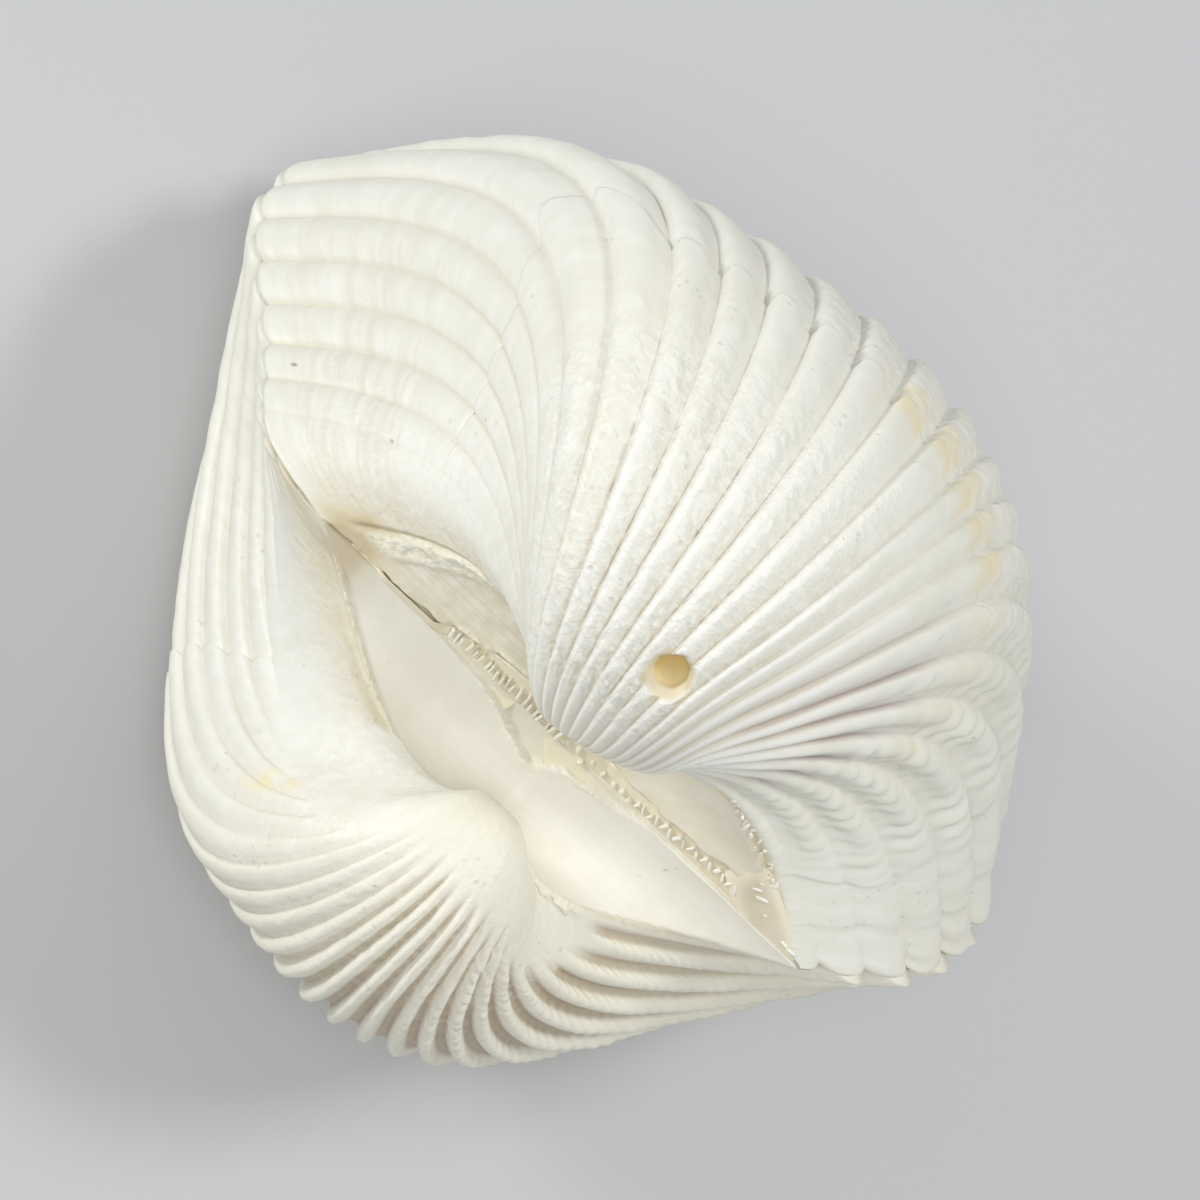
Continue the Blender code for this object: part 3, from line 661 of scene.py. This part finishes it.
def right_hinge(spots, outer, lengths, turned):
    """A smooth area with a layer broken away beside the teeth, a raised rear rim and a curled front one."""
    x, y = spots[..., 0], spots[..., 1]
    area = 1.0 - outer
    border = np.interp(x, *RIGHT_BROKEN.T) + 0.07 * uneven(x / 0.38, x * 0.0, 33) * between(-8.0, 5.0, 1.0, x)
    broken = area * smooth(border - 0.04, border + 0.04, y) * between(-8.5, 5.0, 0.5, x)
    lip = area * np.exp(-((y - border + 0.13) / 0.13) ** 2) * between(-4.5, 3.6, 0.6, x)
    raised = -BROKEN_DEPTH * broken + 0.11 * lip + area * 0.09 * uneven(x / 2.6, y / 1.5, 34)
    rear = right.from_rim(-1, x, outer, lengths, turned)
    front = right.from_rim(1, x, outer, lengths, turned)
    ridge_at = np.interp(turned, (14.0, 30.0, 60.0, 90.0), (0.1, 0.4, 0.4, 0.1))
    rear_rim = between(13.0, 92.0, 3.0, turned) * outer
    ridge = rear_rim * np.exp(-((rear - ridge_at) / 0.27) ** 2)
    ridge = ridge * (1.0 + 0.3 * uneven(turned / 2.6, turned * 0.0, 35))
    trough = rear_rim * np.exp(-((rear - ridge_at - 1.25) / 0.90) ** 2)
    # tint: tan outside the rear ridge, partly the shell's own tan and partly painted shade beside the ridge.
    tint = between(-6.0, 92.0, 5.0, turned) * outer * np.exp(-((rear - 2.2) / 3.4) ** 2)
    wave = 0.16 * np.sin(turned / 3.1) + 0.10 * np.sin(turned / 1.3)
    curl = between(92.0, 140.0, 4.0, turned) * np.exp(-((front - 1.0 - 2.0 * wave) / 0.70) ** 2) * outer
    ragged_front = front + 0.1 * uneven(turned / 3.0, turned * 0.0, 36)
    seam = between(26.0, 104.0, 6.0, turned) * (1.0 - smooth(0.08, 0.42, ragged_front))
    raised = raised + 0.34 * ridge - 0.32 * trough + 0.32 * curl - 0.10 * seam
    spots = spots + raised[..., None] * np.array((-0.35, 0.10, 0.93))
    tip = area * (1.0 - smooth(-13.2, -10.6, x))
    tip = tip + outer * between(2.0, 24.0, 6.0, turned) * (1.0 - smooth(0.2, 3.4, rear))
    # The tint's share of the amber-and-shade mark is partly painted shade.
    amber = np.maximum(np.maximum(0.35 * broken, 0.8 * tint), np.maximum(tip, 0.8 * seam))
    # Lip, ridge and curl are whitened as chalk, and partly as a painted highlight along their edges.
    return spots, amber, np.maximum(lip, np.maximum(ridge, curl))


def right_kinds(lengths, turned):
    """Worn bands to the rear, and high cords from the middle on."""
    rear = 1.0 - smooth(22.0, 34.0, lengths)
    return 0.5 * rear, np.maximum(0.35 * rear, smooth(38.0, 58.0, lengths))


def right_ribs(lengths, turned):
    """The rear slope is smooth, and the ribs fade out towards the beak."""
    slope = np.interp(turned, (0, 10, 25, 35, 45, 65, 79, 95, 121, 141, 160),
                      (3.0, 6.0, 11.0, 11.6, 12.7, 14.2, 16.0, 18.2, 22.3, 30.5, 38.0))
    fade = np.interp(lengths, (0.0, 36.0, 52.0, 69.0, 80.0, 86.0, 97.0, 106.0, 110.2),
                     (178.0, 178.0, 174.0, 172.0, 164.0, 156.0, 120.0, 90.0, 84.0))
    fade = fade + 6.0 * uneven(lengths / 1.3, turned / 20.0, 41)
    ribs = smooth(-3.0, 1.8, lengths - slope) * (1.0 - smooth(fade - 18.0, fade, turned))
    return ribs * (1.0 + 0.5 * smooth(44.0, 60.0, lengths) * smooth(50.0, 90.0, turned)
                   + 0.3 * (1.0 - smooth(20.0, 30.0, lengths)))


def right_growth(lengths, turned, grown, across):
    """Rungs across the front cords, and worn crumbs towards the beak."""
    wander = grown + 0.20 * uneven(lengths / 3.1, grown / 2.3, 43)
    rungs = np.sin(wander * 2.0 * np.pi / 0.85) * between(72.0, 98.0, 4.0, lengths)
    rungs = rungs * between(98.0, 146.0, 6.0, turned) * (0.6 + uneven(lengths / 2.0, grown / 2.9, 45))
    crumbs = uneven(lengths / 1.2, grown / 0.5, 44) * smooth(95.0, 125.0, turned)
    crumbs = crumbs * smooth(38.0, 48.0, lengths)
    knobs = np.sin(wander * 2.0 * np.pi / 1.7) * smooth(70.0, 90.0, lengths)
    knobs = knobs * between(20.0, 100.0, 10.0, turned)
    return (0.06 * rungs + 0.03 * knobs) * (0.3 + np.sin(np.pi * across)) + 0.05 * crumbs


points, marks = valve_rows(right, right_kinds, right_ribs, right_growth, right_hinge)
right_shell = grown_mesh("right_valve_shell", lay(points), marks)

finish, colour, wires = shell_finish("right_shell", (0.85, 0.815, 0.70), (0.92, 0.895, 0.80))
edge, turned = wires["edge"], wires["turned"]
spot = finish.band(edge, 19.0, 24.0, 1.5) * finish.band(turned, 100.0, 113.0, 4.0)
colour = finish.mix(spot * finish.step(wires["fine"], 0.35, 0.6), colour, (0.90, 0.80, 0.50))
colour = finish.mix(finish.step(edge, 16.0, 44.0) * (1.0 - wires["area"]) * 0.5, colour, (0.96, 0.91, 0.75))
# Between the high cords: the shell's brown, deepened with painted shade.
brown_and_shade_between_cords = finish.band(wires["phase"], 0.66, 1.0, 0.08) * wires["ribbed"] * finish.step(edge, 42.0, 60.0)
colour = finish.mix(brown_and_shade_between_cords * 0.65, colour, (0.54, 0.46, 0.33))
brown = finish.band(edge, 58.0, 106.0, 6.0) * finish.band(turned, 40.0, 125.0, 14.0) * wires["crevice"]
colour = finish.mix(brown * 0.7, colour, (0.50, 0.40, 0.32))
# Amber and tan from the amber-and-shade mark, partly painted shade beside the rear ridge.
colour = finish.mix(wires["amber"] * (0.5 + 0.6 * wires["wide"]), colour, (0.74, 0.66, 0.48))
# Darker brown at the rear end of the hinge, where the valves join: over the tan tip, and as painted shade in
# the join.
joined = finish.step(wires["amber"], 0.6, 1.0) * (1.0 - finish.step(turned, 18.0, 32.0))
joined = joined * (1.0 - finish.step(edge, 1.5, 5.0))
colour = finish.mix(joined * 0.6, colour, (0.62, 0.52, 0.34))
# White chalk grains; on the lip, ridge and curl they are partly a painted highlight.
grains = wires["chalk"] * (0.35 + 0.65 * finish.step(wires["grain"], 0.38, 0.56))
colour = finish.mix(grains, colour, (0.98, 0.95, 0.80))
low = (1.0 - finish.step(edge, 12.0, 16.0)) * finish.band(turned, 14.0, 70.0, 6.0) * (1.0 - wires["area"])
finish_shell(finish, colour, wires, 0.4 * finish.band(turned, 100.0, 230.0, 20.0) + 0.3 * low)
right_shell.data.materials.append(finish.material)

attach(right_shell, "root")
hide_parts("right_valve")


# ---------------------------------------------------------------------------------------------------
# HINGE TEETH: a comb of thin glossy blades on the left valve's hinge, bared where its area broke away,
# with a zigzag of angled ones to the front, and grains of old ligament caught in the split at its front rim.

REAR_TEETH, FRONT_TEETH = (-7.3, -0.4), (4.6, 10.4)
ZIGZAG_PITCH = 0.80
STRAY_TEETH = ((3.0, 0.24), (3.5, 0.28), (4.0, 0.22), (1.6, 0.30), (0.7, 0.34), (2.3, 0.26), (0.1, 0.2),
               (1.2, -0.1))

work = bmesh.new()
shake = np.random.RandomState(7)


def blade(spot, size, turned, tilt):
    """One tooth: its foot at the spot, its length across the hinge."""
    verts = bmesh.ops.create_cube(work, size=1.0)["verts"]
    for vert in verts:
        vert.co = Vector((vert.co.x * size[0], vert.co.y * size[1], (vert.co.z + 0.5) * size[2]))
        if vert.co.z > 0.0:
            vert.co.x *= 0.55
            vert.co.y *= 0.80
    turn = Matrix.Rotation(turned, 4, "Z") @ Matrix.Rotation(tilt, 4, "Y")
    bmesh.ops.transform(work, matrix=Matrix.Translation(spot) @ turn, verts=verts)


x = REAR_TEETH[0]
while x < REAR_TEETH[1]:
    y = float(np.interp(x, (-7.2, -4.0, -0.4), (0.40, 0.34, 0.30))) + shake.uniform(-0.07, 0.07)
    blade((x, y, -0.55), (shake.uniform(0.20, 0.30), shake.uniform(0.48, 0.82), shake.uniform(0.44, 0.64)),
          shake.uniform(-0.22, 0.22), shake.uniform(-0.25, 0.25))
    x += shake.uniform(0.30, 0.44)
for x in np.arange(*FRONT_TEETH, ZIGZAG_PITCH):
    y = float(np.interp(x, (4.6, 6.6, 7.9, 9.0, 10.5), (0.30, 0.50, 0.55, 0.68, 0.60)))
    for side in (-1.0, 1.0):
        blade((x + 0.17 * side, y + shake.uniform(-0.05, 0.05), -0.52),
              (shake.uniform(0.2, 0.3), shake.uniform(0.42, 0.66), shake.uniform(0.34, 0.54)),
              0.52 * side, 0.1 * side)
for x, y in STRAY_TEETH:
    blade((x, y, -0.5), (shake.uniform(0.25, 0.4), 0.36, shake.uniform(0.22, 0.44)),
          shake.uniform(-0.8, 0.8), 0.0)
bmesh.ops.bevel(work, geom=work.edges[:], offset=0.05, segments=3, profile=0.5, affect="EDGES", material=-1)
for turned in np.linspace(22.0, 68.0, 26):
    spot = left.place(np.array((HINGE_HALF, 0.0)), np.array((0.0, 1.0)), -0.16, math.radians(turned))
    size = shake.uniform(0.05, 0.12)
    grain = bmesh.ops.create_icosphere(work, subdivisions=2, radius=1.0)["verts"]
    turn = Matrix.Rotation(shake.uniform(0.0, 3.0), 4, "Z")
    turn = turn @ Matrix.Rotation(shake.uniform(-0.6, 0.6), 4, "Y")
    scattered = Matrix.Translation(spot + shake.uniform(-0.22, 0.22, 3) * (1.0, 1.0, 0.3))
    shape = Matrix.Diagonal((shake.uniform(1.2, 2.4) * size, size, 0.8 * size, 1.0))
    bmesh.ops.transform(work, matrix=scattered @ turn @ shape, verts=grain)
for vert in work.verts:
    vert.co = Vector(lay(vert.co))
bmesh.ops.recalc_face_normals(work, faces=work.faces)
for face in work.faces:
    face.smooth = True
mesh = bpy.data.meshes.new("left_hinge_teeth")
work.to_mesh(mesh)
work.free()
teeth = bpy.data.objects.new("left_hinge_teeth", mesh)
bpy.context.scene.collection.objects.link(teeth)

finish = Finish("left_hinge_teeth", IOR=1.55, Coat_Weight=1.0, Coat_Roughness=0.06)
place = finish.node("ShaderNodeTexCoord", {}, output="Object")
cloud = finish.noise(place, 900.0, 3.0)
finish.feed("Base Color", finish.mix(finish.step(cloud, 0.35, 0.65), (0.89, 0.83, 0.67), (0.96, 0.94, 0.86)))
finish.feed("Roughness", 0.10 + 0.12 * cloud)
finish.feed("Normal", finish.bump(0.03 * finish.noise(place, 2500.0, 2.0), 0.001))
teeth.data.materials.append(finish.material)

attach(teeth, "root")
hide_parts("left_valve")


# ---------------------------------------------------------------------------------------------------
# LIGAMENT: the dried leathery ligament that held the valves together. A tan thread of it lies in the slit
# between the hinge areas, and at the front end a thin film still spans them, with white flakes on it
# that are painted glints.

THREAD_THICK, FILM_THICK = 0.12, 0.07
# Place, length and turn of each flake, a white sliver that is a painted glint on the film.
GLINT_FLAKES = ((11.05, 1.62, 0.13, 0.26, 0.5), (11.55, 1.42, 0.12, 0.34, 0.35), (11.0, 2.0, 0.12, 0.12, 0.4),
          (13.85, 0.42, 0.0, 0.26, -0.1), (14.3, 0.34, -0.04, 0.30, 0.1), (12.2, 0.9, 0.12, 0.10, 0.3))

work = bmesh.new()
dark, thick, painted_glint = (work.verts.layers.float.new(mark) for mark in ("dark", "thick", "painted_glint"))
bed = bmesh.ops.create_grid(work, x_segments=150, y_segments=8, size=0.5)["verts"]
for vert in bed:
    x = -13.4 + 27.8 * (vert.co.x + 0.5)
    inner = float(np.interp(x, (-13.4, -8.2, -7.2, -2.0, 0.0, 3.0, 5.0, 10.4, 11.2, 14.4),
                            (0.12, 0.14, 0.35, 1.3, -1.6, -0.75, -0.25, -0.15, -0.05, -0.03)))
    low = min(-0.06, -inner if x < -3.0 else inner)
    high = float(np.interp(x, (-13.4, -8.2, -7.2, -4.4, -0.6, 2.2, 8.0, 10.6, 11.4, 14.4),
                           (0.12, 0.14, 0.7, 1.1, 1.5, 1.0, 1.0, 1.1, 0.1, 0.05)))
    # The rear of the thread is marked dark: raised nearly flush, and tinted as painted shade of the slit.
    vert[dark] = float(between(-11.6, -7.8, 0.5, x))
    y = low + (high - low) * (vert.co.y + 0.5)
    lump = float(uneven(np.array(x / 0.5 + 40.0), np.array(y / 0.4 + 40.0), 51))
    vert.co = Vector((x, y, -0.40 + 0.05 * lump * (1.0 - vert[dark]) + 0.40 * vert[dark]))
bmesh.ops.solidify(work, geom=work.faces[:], thickness=THREAD_THICK)
film = bmesh.ops.create_grid(work, x_segments=44, y_segments=22, size=0.5)["verts"]
for vert in film:
    x = 9.5 + 5.3 * (vert.co.x + 0.5)
    across = vert.co.y + 0.5
    low = float(np.interp(x, (9.5, 10.6, 11.9, 13.9, 14.9), (0.80, 0.10, -0.34, -0.22, -0.06)))
    high = float(np.interp(x, (9.5, 10.6, 11.6, 12.8, 14.0, 14.9), (1.30, 2.75, 2.30, 1.60, 0.80, 0.20)))
    y = low + (high - low) * across
    swell = 0.0
    if 0.01 < across < 0.99 and abs(vert.co.x) < 0.49:
        swell = (math.sin(math.pi * across) * math.sin(math.pi * (vert.co.x + 0.5))) ** 0.4
    fold = 0.03 * math.sin(1.3 * x + 1.7 * y)
    vert.co = Vector((x, y, -0.33 + 0.022 * y * y + (0.40 + fold) * swell))
    vert[thick] = float(smooth(0.55, 0.95, swell))
film_faces = list(dict.fromkeys(face for vert in film for face in vert.link_faces))
bmesh.ops.solidify(work, geom=film_faces, thickness=FILM_THICK)
for x, y, z, size, turned in GLINT_FLAKES:
    glint_flake = bmesh.ops.create_icosphere(work, subdivisions=3, radius=1.0)["verts"]
    bmesh.ops.transform(work, matrix=Matrix.Translation((x, y, z)) @ Matrix.Rotation(turned, 4, "Z")
                        @ Matrix.Diagonal((size, 0.3 * size, 0.06, 1.0)), verts=glint_flake)
    for vert in glint_flake:
        vert[painted_glint] = 1.0
for vert in work.verts:
    vert.co = Vector(lay(vert.co))
bmesh.ops.recalc_face_normals(work, faces=work.faces)
for face in work.faces:
    face.smooth = True
mesh = bpy.data.meshes.new("dried_ligament")
work.to_mesh(mesh)
work.free()
ligament = bpy.data.objects.new("dried_ligament", mesh)
bpy.context.scene.collection.objects.link(ligament)

finish = Finish("dried_ligament", IOR=1.5, Coat_Weight=0.6, Coat_Roughness=0.12)
place = finish.node("ShaderNodeTexCoord", {}, output="Object")
cloud = finish.noise(place, 500.0, 3.0)
colour = finish.mix(finish.step(cloud, 0.35, 0.65), (0.75, 0.66, 0.50), (0.84, 0.76, 0.60))
colour = finish.mix(finish.mark("thick"), (0.93, 0.86, 0.67), colour)
# The flakes are painted glints: white where the film would shine.
colour = finish.mix(finish.mark("painted_glint"), colour, (0.97, 0.96, 0.90))
# Painted shade of the slit on the dark rear part of the thread.
finish.feed("Base Color", finish.mix(finish.mark("dark") * 0.9, colour, (0.78, 0.70, 0.52)))
finish.feed("Roughness", 0.12 + 0.2 * cloud)
finish.feed("Normal", finish.bump(0.05 * cloud, 0.001))
ligament.data.materials.append(finish.material)

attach(ligament, "root")
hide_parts("hinge_ligament")


# ---------------------------------------------------------------------------------------------------
# FLOOR, LIGHT AND CAMERA: the shell lies on a plain pale table top, under three soft lamps and an even
# white room, seen from above along its hinge.

bpy.ops.mesh.primitive_plane_add(size=3.0, location=(0.0, 0.0, 0.0))
floor = bpy.context.object
floor.name = "floor"
floor.data.materials.append(Finish("floor", Base_Color=(0.60, 0.61, 0.62, 1.0), Roughness=0.8).material)

# Columns of the turn: the camera's right, up and backward directions.
view_turn = Matrix(((0.68026, 0.58367, 0.44338), (-0.70531, 0.68585, 0.17927), (-0.19946, -0.43467, 0.87822)))
view_turn.transpose()


def lamp(name, way, distance, size, power):
    """A soft square lamp that faces the shell from this way, as the camera sees it."""
    light = bpy.data.lights.new(name, "AREA")
    light.size = size
    light.energy = power
    thing = bpy.data.objects.new(name, light)
    bpy.context.scene.collection.objects.link(thing)
    direction = view_turn @ Vector(way).normalized()
    thing.location = Vector((0.0, 0.0, 0.02)) + direction * distance
    thing.rotation_euler = direction.to_track_quat("Z", "Y").to_euler()


lamp("key", (-0.66, 0.58, 0.50), 0.6, 0.10, 1.40)
lamp("right", (0.75, 0.20, 0.60), 0.6, 0.16, 1.05)
lamp("front", (0.05, -0.05, 1.0), 0.6, 0.20, 0.86)
room = bpy.data.worlds.new("room")
bpy.context.scene.world = room
room.use_nodes = True
room.node_tree.nodes["Background"].inputs["Color"].default_value = (1.0, 1.0, 1.0, 1.0)
room.node_tree.nodes["Background"].inputs["Strength"].default_value = 0.42

camera = bpy.data.objects.new("camera", bpy.data.cameras.new("camera"))
bpy.context.scene.collection.objects.link(camera)
camera.data.sensor_width = 36.0
camera.data.lens = 197.87
camera.data.clip_start = 0.01
camera.matrix_world = Matrix.Translation((-0.063048, -0.134035, 0.293838)) @ view_turn.to_4x4()
bpy.context.scene.camera = camera
bpy.context.scene.view_settings.view_transform = "Standard"
